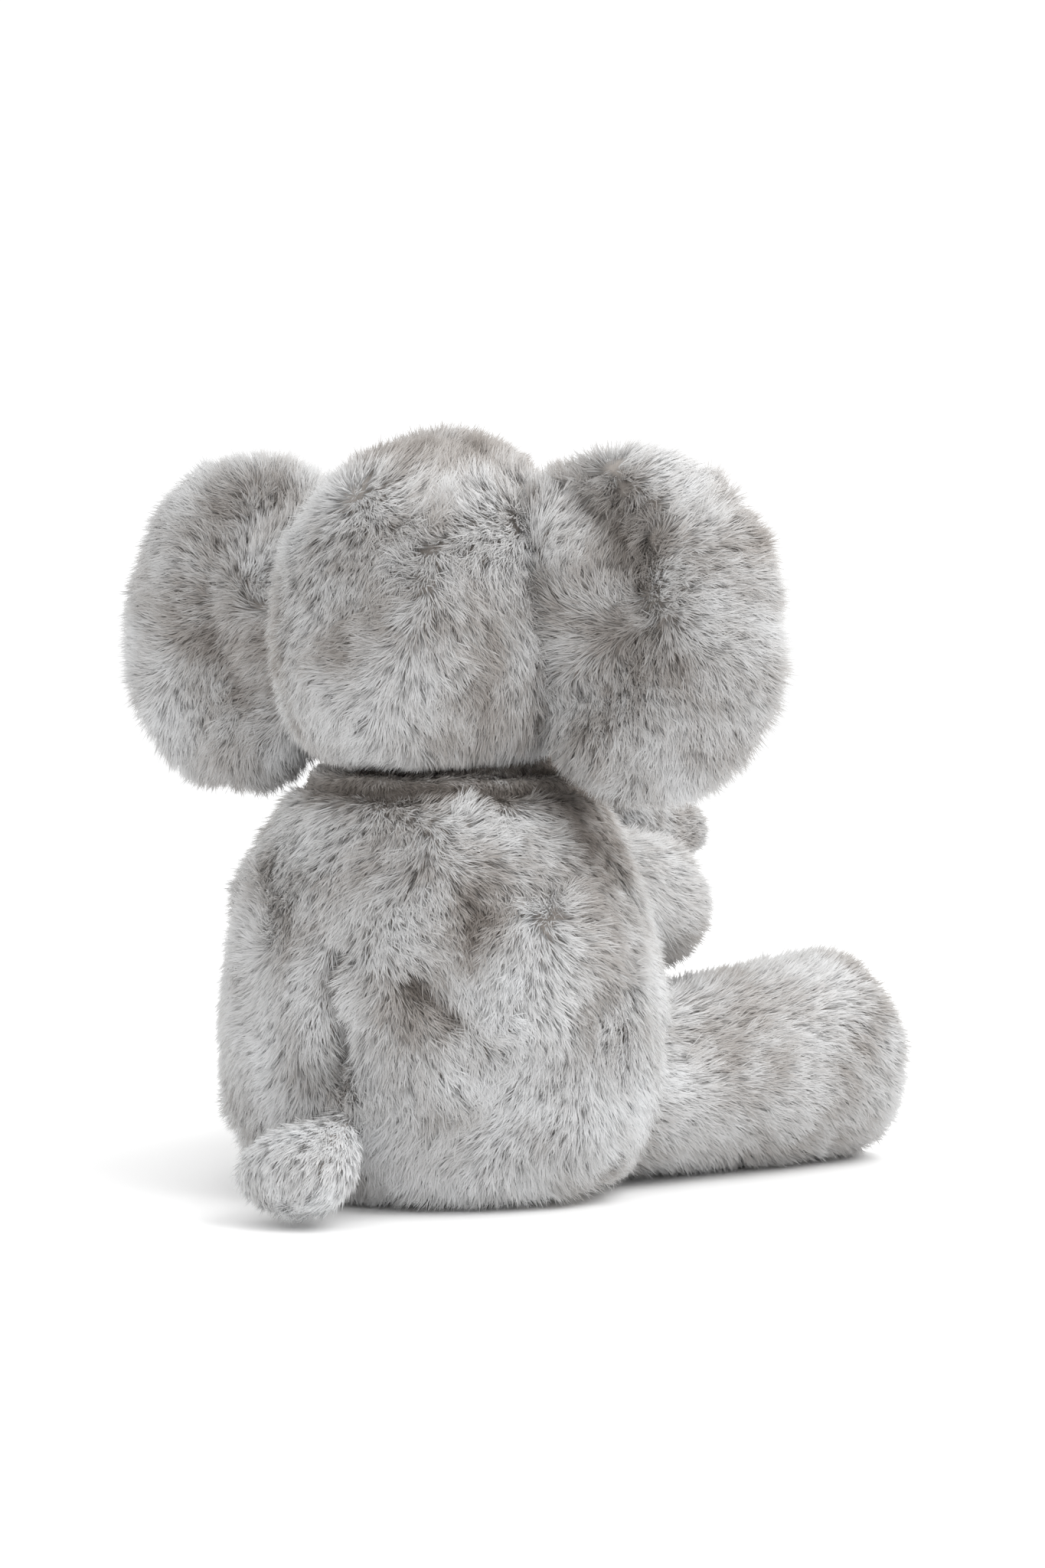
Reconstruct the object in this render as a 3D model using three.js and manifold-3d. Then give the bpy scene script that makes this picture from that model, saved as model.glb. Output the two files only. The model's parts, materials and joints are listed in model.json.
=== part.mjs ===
// A seated stuffed elephant: long-pile cloth panels sewn round separate stuffed pieces.
// Millimetres, +Z up. The toy faces -Y and sits on z = 0; its own right side is -X.
import * as THREE from 'three';
import { mergeVertices } from 'three/addons/utils/BufferGeometryUtils.js';
import Module from 'manifold-3d';

const wasm = await Module();
wasm.setup();

// ---- Driving dimensions ------------------------------------------------------------------

const cloth = 3; // backing and the dense foot of the pile
const gap = 0.4; // between pieces that lie against each other
const play = 1.2; // round a piece that swings
const around = 20; // sides of the round pieces
const far = 400; // further than any piece reaches

const torso = { wide: 82, depthRatio: 0.9, seatRadius: 48, height: 165, seamY: -24, seatHeight: 10.5 };
const neck = { pivot: [0, 7, 162], radius: 25 };
const head = { centre: [0, 9, 218], radii: [54, 57, 61], leanDeg: 16, gussetHalf: 15, room: 9 };
const trunk = {
  pivot: [0, -38, 200],
  bends: [[0, -75, 181], [0, -116, 152], [0, -155, 130], [0, -194, 125]],
  root: 25,
  tip: 13,
  underHalf: 8,
  openingDeg: 30, // how far the open end at the face leans back
  room: { aim: [0, -0.88, -0.47], swingDeg: 20, reach: 50 },
};
const ear = { pivot: [46, 6, 214], middle: 44, halfWide: 51, halfTall: 62, thick: 13, room: 6.5 };
const arm = {
  pivot: [43, -30, 113],
  aim: [0.11, -0.97, -0.2],
  length: 60,
  root: 21,
  end: 25,
  corner: 14,
  padShare: 0.6, // of the end radius
  room: { rise: 0.13, swingDeg: 20, reach: 55 }, // the arm swings upwards only
};
const leg = {
  pivot: [50, -34, 37],
  splayDeg: 22,
  length: 128,
  root: 30,
  end: 40,
  corner: 12,
  padShare: 0.74,
  clear: 0.3, // between the foot and the floor
  room: { turnDeg: 3.5, swingDeg: 25, reach: 80 }, // the leg swings further out than in
};
const tail = {
  pivot: [0, 67, 33],
  aim: [0, 0.88, -0.36],
  length: 45,
  root: 11,
  bulb: 17,
  flat: 0.8,
  opening: 3, // from the pivot to the open end of its cloth
  room: { swingDeg: 26, reach: 40 },
};
const eye = { look: [0.5, -0.8, 0.33], dome: 6, domeFlat: 0.62, seatFlat: 0.68 };
const stem = { radius: 2.2, length: 13, boreLength: 40 };
const washer = { radius: 8, thick: 1.6, depth: 9.5, pocketLength: 14 };
const seatBag = { radii: [44, 38, 14] };
const footBag = { radii: [21, 21, 13], fromEnd: 24, mouth: 9 };
const label = { at: [75.5, -24, 92], size: [17, 0.8, 14] };

// ---- Colours and finishes ----------------------------------------------------------------

const finishes = {
  fur: { color: 0x8d8a87, roughness: 0.95, metalness: 0 },
  lining: { color: 0x9f9a96, roughness: 0.9, metalness: 0 },
  fibrefill: { color: 0xf1efe9, roughness: 1, metalness: 0 },
  pelletCloth: { color: 0xd9d5cb, roughness: 0.9, metalness: 0 },
  eyePlastic: { color: 0x0b0a0a, roughness: 0.12, metalness: 0 },
  washerPlastic: { color: 0xe4e2dc, roughness: 0.5, metalness: 0 },
  labelTape: { color: 0xf5f4f1, roughness: 0.6, metalness: 0 },
};

const toy = new THREE.Group();
const vector = (list) => new THREE.Vector3(...list);
const mirrored = ([x, y, z], side) => [x * side, y, z];

// ---- From three.js geometry to solids and back -------------------------------------------

function toSolid(geometry) {
  const bare = geometry.clone();
  bare.deleteAttribute('normal');
  bare.deleteAttribute('uv');
  const merged = mergeVertices(bare, 1e-4);
  const corners = merged.index.array;
  const triangles = [];
  for (let i = 0; i < corners.length; i += 3) {
    const [a, b, c] = [corners[i], corners[i + 1], corners[i + 2]];
    if (a !== b && b !== c && c !== a) triangles.push(a, b, c);
  }
  const vertProperties = new Float32Array(merged.attributes.position.array);
  const triVerts = new Uint32Array(triangles);
  return new wasm.Manifold(new wasm.Mesh({ numProp: 3, vertProperties, triVerts }));
}

function toGeometry(solid) {
  const mesh = solid.getMesh();
  const geometry = new THREE.BufferGeometry();
  geometry.setAttribute('position', new THREE.BufferAttribute(mesh.vertProperties, 3));
  geometry.setIndex(new THREE.BufferAttribute(mesh.triVerts, 1));
  geometry.computeVertexNormals();
  return geometry;
}

function addPiece(name, solid, finish) {
  const mesh = new THREE.Mesh(toGeometry(solid), new THREE.MeshStandardMaterial(finishes[finish]));
  mesh.name = name;
  toy.add(mesh);
}

const join = (solids) => solids.reduce((sum, solid) => sum.add(solid));

// A slab that holds everything between two heights of one axis.
function slab(axis, low, high) {
  const size = [2 * far, 2 * far, 2 * far];
  const centre = [0, 0, 0];
  size[axis] = high - low;
  centre[axis] = (low + high) / 2;
  return toSolid(new THREE.BoxGeometry(...size).translate(...centre));
}

// ---- Outlines ----------------------------------------------------------------------------

// Moves a lathe profile inwards by the same distance everywhere (outwards if negative).
function inset(profile, distance) {
  return profile.map((point, i) => {
    const before = profile[Math.max(i - 1, 0)];
    const after = profile[Math.min(i + 1, profile.length - 1)];
    const along = after.clone().sub(before).normalize();
    if (point.x < 1e-6) return new THREE.Vector2(0, point.y + (i === 0 ? distance : -distance));
    const radius = Math.max(point.x - along.y * distance, 0.5);
    return new THREE.Vector2(radius, point.y + along.x * distance);
  });
}

// A round form on the +Z axis from its lathe profile.
function lathed(profile, sides = around) {
  return new THREE.LatheGeometry(profile, sides).rotateX(Math.PI / 2);
}

// Hidden forms, which lie deeper than the outer surface, have half as many sides.
function sidesAt(depth, sides) {
  return depth > 0 ? sides / 2 : sides;
}

// The lower half of a ball about the origin, from its pole to its waist.
function ballFoot(radius) {
  return [0, 1, 2, 3, 4].map((i) => {
    const angle = (Math.PI / 2) * (i / 4);
    return new THREE.Vector2(radius * Math.sin(angle), -radius * Math.cos(angle));
  });
}

// A stuffed limb on the +Z axis: a ball about the origin, a widening tube, a softly cut end.
function limbProfile({ root, end, length, corner }) {
  const points = ballFoot(root);
  points.push(new THREE.Vector2((root + end * 2) / 3, (length - corner) * 0.5));
  for (let i = 0; i <= 2; i += 1) {
    const angle = (Math.PI / 2) * (i / 2);
    const radius = end - corner + corner * Math.cos(angle);
    points.push(new THREE.Vector2(radius, length - corner + corner * Math.sin(angle)));
  }
  points.push(new THREE.Vector2(0, length));
  return points;
}

// Turns a form made on the +Z axis to point along a direction, from a pivot.
function aimed(geometry, aim, pivot) {
  const up = new THREE.Vector3(0, 0, 1);
  const turn = new THREE.Quaternion().setFromUnitVectors(up, vector(aim).normalize());
  return geometry.clone().applyQuaternion(turn).translate(...pivot);
}

// ---- Outer forms, each as a function of how far in it lies -------------------------------

function torsoForm(depth) {
  const { wide, seatRadius, height } = torso;
  const side = new THREE.SplineCurve([
    new THREE.Vector2(seatRadius, 0),
    new THREE.Vector2(wide * 0.83, height * 0.055),
    new THREE.Vector2(wide * 0.97, height * 0.22),
    new THREE.Vector2(wide, height * 0.42),
    new THREE.Vector2(wide * 0.93, height * 0.6),
    new THREE.Vector2(wide * 0.78, height * 0.77),
    new THREE.Vector2(wide * 0.58, height * 0.91),
    new THREE.Vector2(wide * 0.3, height * 0.985),
  ]);
  const bottom = new THREE.Vector2(0, 0);
  const profile = [bottom, ...side.getPoints(sidesAt(depth, 10)), new THREE.Vector2(0, height)];
  return lathed(inset(profile, depth), sidesAt(depth, 24)).scale(1, torso.depthRatio, 1);
}

function headForm(depth) {
  const radii = head.radii.map((radius) => radius - depth);
  const ball = new THREE.SphereGeometry(1, sidesAt(depth, 20), sidesAt(depth, 12)).rotateX(Math.PI / 2);
  const form = ball.scale(...radii);
  return form.rotateX(THREE.MathUtils.degToRad(head.leanDeg)).translate(...head.centre);
}

const trunkCurve = new THREE.CatmullRomCurve3([trunk.pivot, ...trunk.bends].map(vector));

// Bends a form made on the +Z axis along the trunk's curve, which lies in the YZ plane.
function trunkForm(depth) {
  const length = trunkCurve.getLength();
  const profile = ballFoot(trunk.root);
  for (let i = 1; i <= 7; i += 1) {
    const share = i / 7;
    const radius = THREE.MathUtils.lerp(trunk.root, trunk.tip, share);
    profile.push(new THREE.Vector2(radius, length * share));
  }
  for (let i = 1; i <= 3; i += 1) {
    const angle = (Math.PI / 2) * (i / 3);
    const radius = i === 3 ? 0 : trunk.tip * Math.cos(angle);
    profile.push(new THREE.Vector2(radius, length + trunk.tip * 0.8 * Math.sin(angle)));
  }
  const form = lathed(inset(profile, depth), sidesAt(depth, 16));
  const place = form.attributes.position;
  for (let i = 0; i < place.count; i += 1) {
    const height = place.getZ(i);
    const share = THREE.MathUtils.clamp(height / length, 0, 1);
    const along = trunkCurve.getTangentAt(share);
    const centre = trunkCurve.getPointAt(share).addScaledVector(along, height - share * length);
    const across = new THREE.Vector3(0, along.z, -along.y);
    centre.addScaledVector(across, place.getY(i));
    place.setXYZ(i, place.getX(i), centre.y, centre.z);
  }
  return form;
}

// How far the ear's outline lies from its middle, for a direction in the ear's own plane.
function earOutline(angle) {
  const outward = Math.cos(angle) / ear.halfWide;
  const upward = Math.sin(angle) / ear.halfTall;
  const rootPinch = 1 - 0.12 * Math.max(-Math.cos(angle), 0) ** 3;
  return rootPinch / Math.hypot(outward, upward);
}

// A plump pillow with the ear's outline, standing out from the side of the head.
function earForm(depth, side) {
  const form = new THREE.SphereGeometry(1, sidesAt(depth, 24), depth > 0 ? 6 : 8);
  const place = form.attributes.position;
  for (let i = 0; i < place.count; i += 1) {
    const [u, thick, w] = [place.getX(i), place.getY(i), place.getZ(i)];
    const share = Math.hypot(u, w);
    const reach = share < 1e-9 ? 0 : earOutline(Math.atan2(w, u)) - depth;
    const puff = (ear.thick - depth) * Math.sign(thick) * Math.abs(thick) ** 0.8;
    place.setXYZ(i, ear.middle + u * reach, puff, w * reach);
  }
  form.translate(...ear.pivot);
  return side > 0 ? form : flipped(form);
}

// A mirror image in X with its faces turned back to point outwards.
function flipped(geometry) {
  const other = geometry.clone().scale(-1, 1, 1);
  const corners = other.index.array;
  for (let i = 0; i < corners.length; i += 3) {
    [corners[i + 1], corners[i + 2]] = [corners[i + 2], corners[i + 1]];
  }
  return other;
}

function armForm(depth, side) {
  const profile = inset(limbProfile(arm), depth);
  return aimed(lathed(profile, sidesAt(depth, 16)), mirrored(arm.aim, side), mirrored(arm.pivot, side));
}

function legAim(side, turnDeg = 0) {
  const splay = THREE.MathUtils.degToRad(leg.splayDeg + turnDeg);
  const rise = (leg.end - leg.pivot[2] + leg.clear) / leg.length;
  return [side * Math.sin(splay), -Math.cos(splay), rise];
}

function legForm(depth, side) {
  const profile = inset(limbProfile(leg), depth);
  return aimed(lathed(profile, sidesAt(depth, 20)), legAim(side), mirrored(leg.pivot, side));
}

function tailForm(depth) {
  const { root, bulb, length } = tail;
  const outline = new THREE.SplineCurve([
    new THREE.Vector2(root, 0),
    new THREE.Vector2(root * 1.1, length * 0.2),
    new THREE.Vector2(bulb * 0.92, length * 0.5),
    new THREE.Vector2(bulb, length * 0.72),
    new THREE.Vector2(bulb * 0.7, length * 0.92),
    new THREE.Vector2(bulb * 0.25, length),
  ]);
  const start = ballFoot(root).filter((point, i) => i < 4);
  const profile = [...start, ...outline.getPoints(6), new THREE.Vector2(0, length * 1.005)];
  const form = lathed(inset(profile, depth), sidesAt(depth, 16)).scale(1, tail.flat, 1);
  return aimed(form, tail.aim, tail.pivot);
}

// ---- Room for everything that swings -----------------------------------------------------

const neckBall = (extra) => {
  const ball = new THREE.SphereGeometry(neck.radius + extra, 14, 8).rotateX(Math.PI / 2);
  return toSolid(ball.translate(...neck.pivot));
};

// A ball seat about a pivot that opens into a cone along the limb, wide enough for its swing.
function socket(radius, room, aim, pivot) {
  const sides = 14;
  const slope = Math.tan(THREE.MathUtils.degToRad(room.swingDeg));
  const seat = (radius + play) / Math.cos(Math.PI / sides);
  const points = ballFoot(seat);
  points.push(new THREE.Vector2(seat + room.reach * slope, room.reach), new THREE.Vector2(0, room.reach));
  return toSolid(aimed(lathed(points, sides), aim, pivot));
}

function armRoom(side) {
  const [x, y, z] = mirrored(arm.aim, side);
  return socket(arm.root, arm.room, [x, y, z + arm.room.rise], mirrored(arm.pivot, side));
}

function legRoom(side) {
  return socket(leg.root, leg.room, legAim(side, leg.room.turnDeg), mirrored(leg.pivot, side));
}

const headRoom = toSolid(headForm(-head.room));
const trunkRoom = socket(trunk.root, trunk.room, trunk.room.aim, trunk.pivot);
const earRoom = (side) => toSolid(earForm(-ear.room, side));
const tailRoom = socket(tail.root, tail.room, tail.aim, tail.pivot);
const legRooms = join([legRoom(1), legRoom(-1)]);
const torsoRoom = join([headRoom, neckBall(play), armRoom(1), armRoom(-1), legRooms, tailRoom]);

// ---- Torso: four cloth panels, the stuffing and a bag of pellets in the seat --------------

const torsoCloth = toSolid(torsoForm(0)).subtract(toSolid(torsoForm(cloth))).subtract(torsoRoom);
const aboveSeat = slab(2, torso.seatHeight + gap, far);
const backHalf = torsoCloth.intersect(slab(1, torso.seamY + gap / 2, far)).intersect(aboveSeat);
const frontHalf = torsoCloth.intersect(slab(1, -far, torso.seamY - gap / 2)).intersect(aboveSeat);
addPiece('torso_back_left', backHalf.intersect(slab(0, gap / 2, far)), 'fur');
addPiece('torso_back_right', backHalf.intersect(slab(0, -far, -gap / 2)), 'fur');
addPiece('torso_belly_panel', frontHalf, 'fur');
addPiece('torso_seat_panel', torsoCloth.intersect(slab(2, -1, torso.seatHeight)), 'fur');

function seatBagForm(extra) {
  const radii = seatBag.radii.map((radius) => radius + extra);
  const ball = new THREE.SphereGeometry(1, 14, 8).rotateX(Math.PI / 2).scale(...radii);
  return toSolid(ball.translate(0, 0, cloth + 2 * gap + seatBag.radii[2]));
}

const torsoInside = toSolid(torsoForm(cloth + gap)).subtract(torsoRoom);
addPiece('torso_stuffing', torsoInside.subtract(seatBagForm(gap)), 'fibrefill');
addPiece('seat_pellet_bag', seatBagForm(0).subtract(legRooms), 'pelletCloth');
const tape = toSolid(new THREE.BoxGeometry(...label.size).translate(...label.at));
addPiece('care_label', tape.subtract(toSolid(torsoForm(-gap))), 'labelTape');
addPiece('neck_stuffing', neckBall(0), 'fibrefill');

// ---- Head: two sides, the gusset over the crown, the stuffing ----------------------------

const headRooms = join([neckBall(play), trunkRoom, earRoom(1), earRoom(-1)]);

// A short round bar on the Z axis, centred at some height.
function bar(radius, length, sides, height) {
  const upright = new THREE.CylinderGeometry(radius, radius, length, sides).rotateX(Math.PI / 2);
  return upright.translate(0, 0, height);
}

// The washer that locks an eye's stem: a flat ring round the Z axis.
function washerRing() {
  const hole = stem.radius + gap;
  const half = washer.thick / 2;
  const corners = [[hole, -half], [washer.radius, -half], [washer.radius, half], [hole, half], [hole, -half]];
  return lathed(corners.map(([x, y]) => new THREE.Vector2(x, y)), 14).translate(0, 0, -washer.depth);
}

// A safety eye: a glossy dome on a ridged stem, and the washer that locks it from inside.
function eyeParts(side) {
  const axisX = new THREE.Vector3(1, 0, 0);
  const look = vector(mirrored(eye.look, side)).normalize();
  const lean = THREE.MathUtils.degToRad(head.leanDeg);
  const onBall = look.clone().multiply(vector(head.radii));
  const at = onBall.applyAxisAngle(axisX, lean).add(vector(head.centre));
  const outward = look.clone().divide(vector(head.radii)).normalize().applyAxisAngle(axisX, lean);
  const placed = (geometry) => toSolid(aimed(geometry, outward.toArray(), at.toArray()));
  const ball = (radius) => new THREE.SphereGeometry(radius, 14, 6).rotateX(Math.PI / 2);
  const dome = placed(ball(eye.dome).scale(1, 1, eye.domeFlat));
  const seat = placed(ball(eye.dome + gap).scale(1, 1, eye.seatFlat));
  return {
    eyeSolid: dome.add(placed(bar(stem.radius, stem.length, 10, -stem.length / 2))),
    washerSolid: placed(washerRing()),
    clothCut: seat.add(placed(bar(stem.radius + gap, stem.boreLength, 10, 0))),
    stuffingCut: placed(bar(washer.radius + gap, washer.pocketLength, 12, -washer.depth)),
  };
}

const eyes = [1, -1].map((side) => eyeParts(side));
const eyeCuts = join(eyes.map(({ clothCut }) => clothCut));
const headSkin = toSolid(headForm(0)).subtract(toSolid(headForm(cloth)));
const headCloth = headSkin.subtract(headRooms).subtract(eyeCuts);
addPiece('head_side_left', headCloth.intersect(slab(0, head.gussetHalf + gap / 2, far)), 'fur');
addPiece('head_side_right', headCloth.intersect(slab(0, -far, -head.gussetHalf - gap / 2)), 'fur');
const gusset = headCloth.intersect(slab(0, -head.gussetHalf + gap / 2, head.gussetHalf - gap / 2));
const throat = slab(1, -far, 0).intersect(slab(2, 0, trunk.pivot[2]));
addPiece('head_gusset', gusset.subtract(throat), 'fur');
addPiece('head_chin_panel', gusset.intersect(throat), 'fur');
const headInside = toSolid(headForm(cloth + gap)).subtract(headRooms).subtract(eyeCuts);
addPiece('head_stuffing', headInside.subtract(join(eyes.map(({ stuffingCut }) => stuffingCut))), 'fibrefill');
['left', 'right'].forEach((name, i) => {
  addPiece(`eye_${name}`, eyes[i].eyeSolid, 'eyePlastic');
  addPiece(`eye_washer_${name}`, eyes[i].washerSolid, 'washerPlastic');
});

// ---- Trunk: an upper and an under strip round their own stuffing -------------------------

const opening = new THREE.BoxGeometry(200, 60, 200).translate(0, 30, 0);
opening.rotateX(THREE.MathUtils.degToRad(trunk.openingDeg)).translate(...trunk.pivot);
const trunkSkin = toSolid(trunkForm(0)).subtract(toSolid(trunkForm(cloth)));
const trunkCloth = trunkSkin.subtract(toSolid(opening));

// Everything below the trunk's middle line, for a strip of some half width.
function belowTrunk(halfWidth) {
  const spare = 50;
  const line = trunkCurve.getPoints(10).map((point) => new THREE.Vector2(point.y, point.z));
  const root = line[0];
  const tip = line[line.length - 1];
  const corners = [
    new THREE.Vector2(tip.x - spare, tip.y),
    new THREE.Vector2(tip.x - spare, 0),
    new THREE.Vector2(root.x + spare, 0),
    new THREE.Vector2(root.x + spare, root.y + spare * 0.56),
  ];
  const side = new THREE.Shape([...line, ...corners]);
  const strip = new THREE.ExtrudeGeometry(side, { depth: halfWidth * 2, bevelEnabled: false });
  const [ahead, up, across] = [[0, 1, 0], [0, 0, 1], [1, 0, 0]].map(vector);
  const basis = new THREE.Matrix4().makeBasis(ahead, up, across);
  return toSolid(strip.applyMatrix4(basis).translate(-halfWidth, 0, 0));
}

addPiece('trunk_upper_panel', trunkCloth.subtract(belowTrunk(trunk.underHalf + gap)), 'fur');
addPiece('trunk_under_panel', trunkCloth.intersect(belowTrunk(trunk.underHalf)), 'lining');
addPiece('trunk_stuffing', toSolid(trunkForm(cloth + gap)), 'fibrefill');

// ---- Ears, arms and legs, left (+X) then right -------------------------------------------

// The two cloths of an ear, either side of the seam round its rim.
function earCloths(side) {
  const skin = toSolid(earForm(0, side)).subtract(toSolid(earForm(cloth, side)));
  const seamY = ear.pivot[1] - ear.thick * 0.15;
  const lining = skin.intersect(slab(1, -far, seamY - gap / 2));
  return { lining, back: skin.intersect(slab(1, seamY + gap / 2, far)) };
}

// A sewn limb: a tube of fur cloth, open at its hinge, and the pad that closes its end.
function addLimb(name, form, side, aim, pivot, limb, padName) {
  const skin = toSolid(form(0, side)).subtract(toSolid(form(cloth, side)));
  const placed = (geometry) => toSolid(aimed(geometry, aim, pivot));
  const pad = limb.end * limb.padShare;
  const behind = placed(new THREE.BoxGeometry(200, 200, 200).translate(0, 0, -106));
  const fur = skin.subtract(behind).subtract(placed(bar(pad + gap, 40, 16, limb.length)));
  addPiece(`${name}_fur`, fur, 'fur');
  addPiece(`${name}_${padName}`, skin.intersect(placed(bar(pad, 40, 16, limb.length))), 'lining');
  return toSolid(form(cloth + gap, side));
}

[['left', 1], ['right', -1]].forEach(([name, side]) => {
  const { lining, back } = earCloths(side);
  addPiece(`ear_${name}_back`, back, 'fur');
  addPiece(`ear_${name}_lining`, lining, 'lining');
  addPiece(`ear_${name}_wadding`, toSolid(earForm(cloth + gap, side)), 'fibrefill');

  const [armAim, armPivot] = [mirrored(arm.aim, side), mirrored(arm.pivot, side)];
  const armFill = addLimb(`arm_${name}`, armForm, side, armAim, armPivot, arm, 'paw_pad');
  addPiece(`arm_${name}_stuffing`, armFill, 'fibrefill');

  const [footAim, legPivot] = [legAim(side), mirrored(leg.pivot, side)];
  const legFill = addLimb(`leg_${name}`, legForm, side, footAim, legPivot, leg, 'sole');
  const pellets = (extra) => {
    const radii = footBag.radii.map((radius) => radius + extra);
    const ball = new THREE.SphereGeometry(1, 12, 8).scale(...radii);
    return toSolid(aimed(ball.translate(0, 0, leg.length - footBag.fromEnd), footAim, legPivot));
  };
  const mouth = toSolid(aimed(bar(footBag.mouth, 40, 10, leg.length), footAim, legPivot));
  addPiece(`leg_${name}_stuffing`, legFill.subtract(pellets(gap)).subtract(mouth), 'fibrefill');
  addPiece(`leg_${name}_pellet_bag`, pellets(0), 'pelletCloth');
});

// ---- Tail --------------------------------------------------------------------------------

const tailSkin = toSolid(tailForm(0)).subtract(toSolid(tailForm(cloth)));
addPiece('tail_fur', tailSkin.intersect(slab(1, tail.pivot[1] + tail.opening, far)), 'fur');
addPiece('tail_stuffing', toSolid(tailForm(cloth + gap)), 'fibrefill');

export default toy;
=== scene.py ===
import json
import math

import bmesh
import bpy
import numpy as np
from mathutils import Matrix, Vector, noise


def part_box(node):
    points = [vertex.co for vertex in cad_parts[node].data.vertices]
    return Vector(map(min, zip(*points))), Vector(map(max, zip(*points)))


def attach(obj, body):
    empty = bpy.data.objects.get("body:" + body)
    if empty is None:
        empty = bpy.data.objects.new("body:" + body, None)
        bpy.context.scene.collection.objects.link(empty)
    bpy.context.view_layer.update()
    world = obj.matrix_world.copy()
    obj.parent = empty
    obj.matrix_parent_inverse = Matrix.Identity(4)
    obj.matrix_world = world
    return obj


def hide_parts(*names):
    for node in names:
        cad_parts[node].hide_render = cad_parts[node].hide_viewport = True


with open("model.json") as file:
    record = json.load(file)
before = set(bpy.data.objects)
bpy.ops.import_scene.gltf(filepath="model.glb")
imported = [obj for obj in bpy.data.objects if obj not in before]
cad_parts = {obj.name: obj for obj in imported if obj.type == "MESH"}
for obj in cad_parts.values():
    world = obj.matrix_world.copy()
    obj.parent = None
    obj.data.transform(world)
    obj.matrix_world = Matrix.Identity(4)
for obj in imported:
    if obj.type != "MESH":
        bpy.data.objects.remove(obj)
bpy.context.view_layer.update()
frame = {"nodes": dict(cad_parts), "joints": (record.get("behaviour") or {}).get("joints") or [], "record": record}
scene = bpy.context.scene
mm = 0.001
sides = (("left", 1), ("right", -1))


# corners of the box round several CAD nodes
def nodesBox(*names):
    low = np.min([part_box(name)[0] for name in names], axis=0)
    high = np.max([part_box(name)[1] for name in names], axis=0)
    return low, high


def jointPivot(name):
    joint = next(j for j in frame["joints"] if j["name"] == name)
    return np.array(joint["pos_m"])


# camera, light and floor
studio = {
    "azimuth": 210, "elevation": 3, "distance": 1.30, "lens": 78.8,
    "aim": (-0.026, -0.015, 0.153),  # metres
    "world": 1.1, "floorSize": 40,
    "key": {"power": 20, "size": 1.2, "right": 1.1, "back": 0.55, "up": 1.25},
    "top": {"power": 6, "size": 1.6, "right": 0, "back": 0, "up": 1.7},
}


def cameraAndLight():
    az, el = math.radians(studio["azimuth"]), math.radians(studio["elevation"])
    back = Vector((math.sin(az) * math.cos(el), -math.cos(az) * math.cos(el), math.sin(el)))
    aim = Vector(studio["aim"])
    camera = bpy.data.objects.new("camera", bpy.data.cameras.new("camera"))
    camera.data.lens = studio["lens"]
    camera.data.clip_end = 60
    camera.location = aim + back * studio["distance"]
    camera.rotation_euler = (-back).to_track_quat("-Z", "Y").to_euler()
    scene.collection.objects.link(camera)
    scene.camera = camera
    right = (-back).cross(Vector((0, 0, 1))).normalized()
    for name in ("key", "top"):
        lamp = studio[name]
        offset = right * lamp["right"] + back * lamp["back"] + Vector((0, 0, lamp["up"]))
        light = bpy.data.objects.new(name, bpy.data.lights.new(name, "AREA"))
        light.data.energy = lamp["power"]
        light.data.size = lamp["size"]
        light.location = aim + offset
        light.rotation_euler = (-offset).to_track_quat("-Z", "Y").to_euler()
        scene.collection.objects.link(light)
    world = bpy.data.worlds.new("studio")
    world.use_nodes = True
    world.node_tree.nodes["Background"].inputs["Color"].default_value = (1, 1, 1, 1)
    world.node_tree.nodes["Background"].inputs["Strength"].default_value = studio["world"]
    scene.world = world
    scene.view_settings.view_transform = "Standard"
    bpy.ops.mesh.primitive_plane_add(size=studio["floorSize"])
    floor = bpy.context.object
    floor.name = "floor"
    paint = bpy.data.materials.new("paleFloor")
    paint.use_nodes = True
    shader = paint.node_tree.nodes["Principled BSDF"]
    shader.inputs["Base Color"].default_value = (0.93, 0.93, 0.93, 1)
    shader.inputs["Roughness"].default_value = 0.9
    floor.data.materials.append(paint)
    print("camera, light and floor ready")


cameraAndLight()


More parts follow.
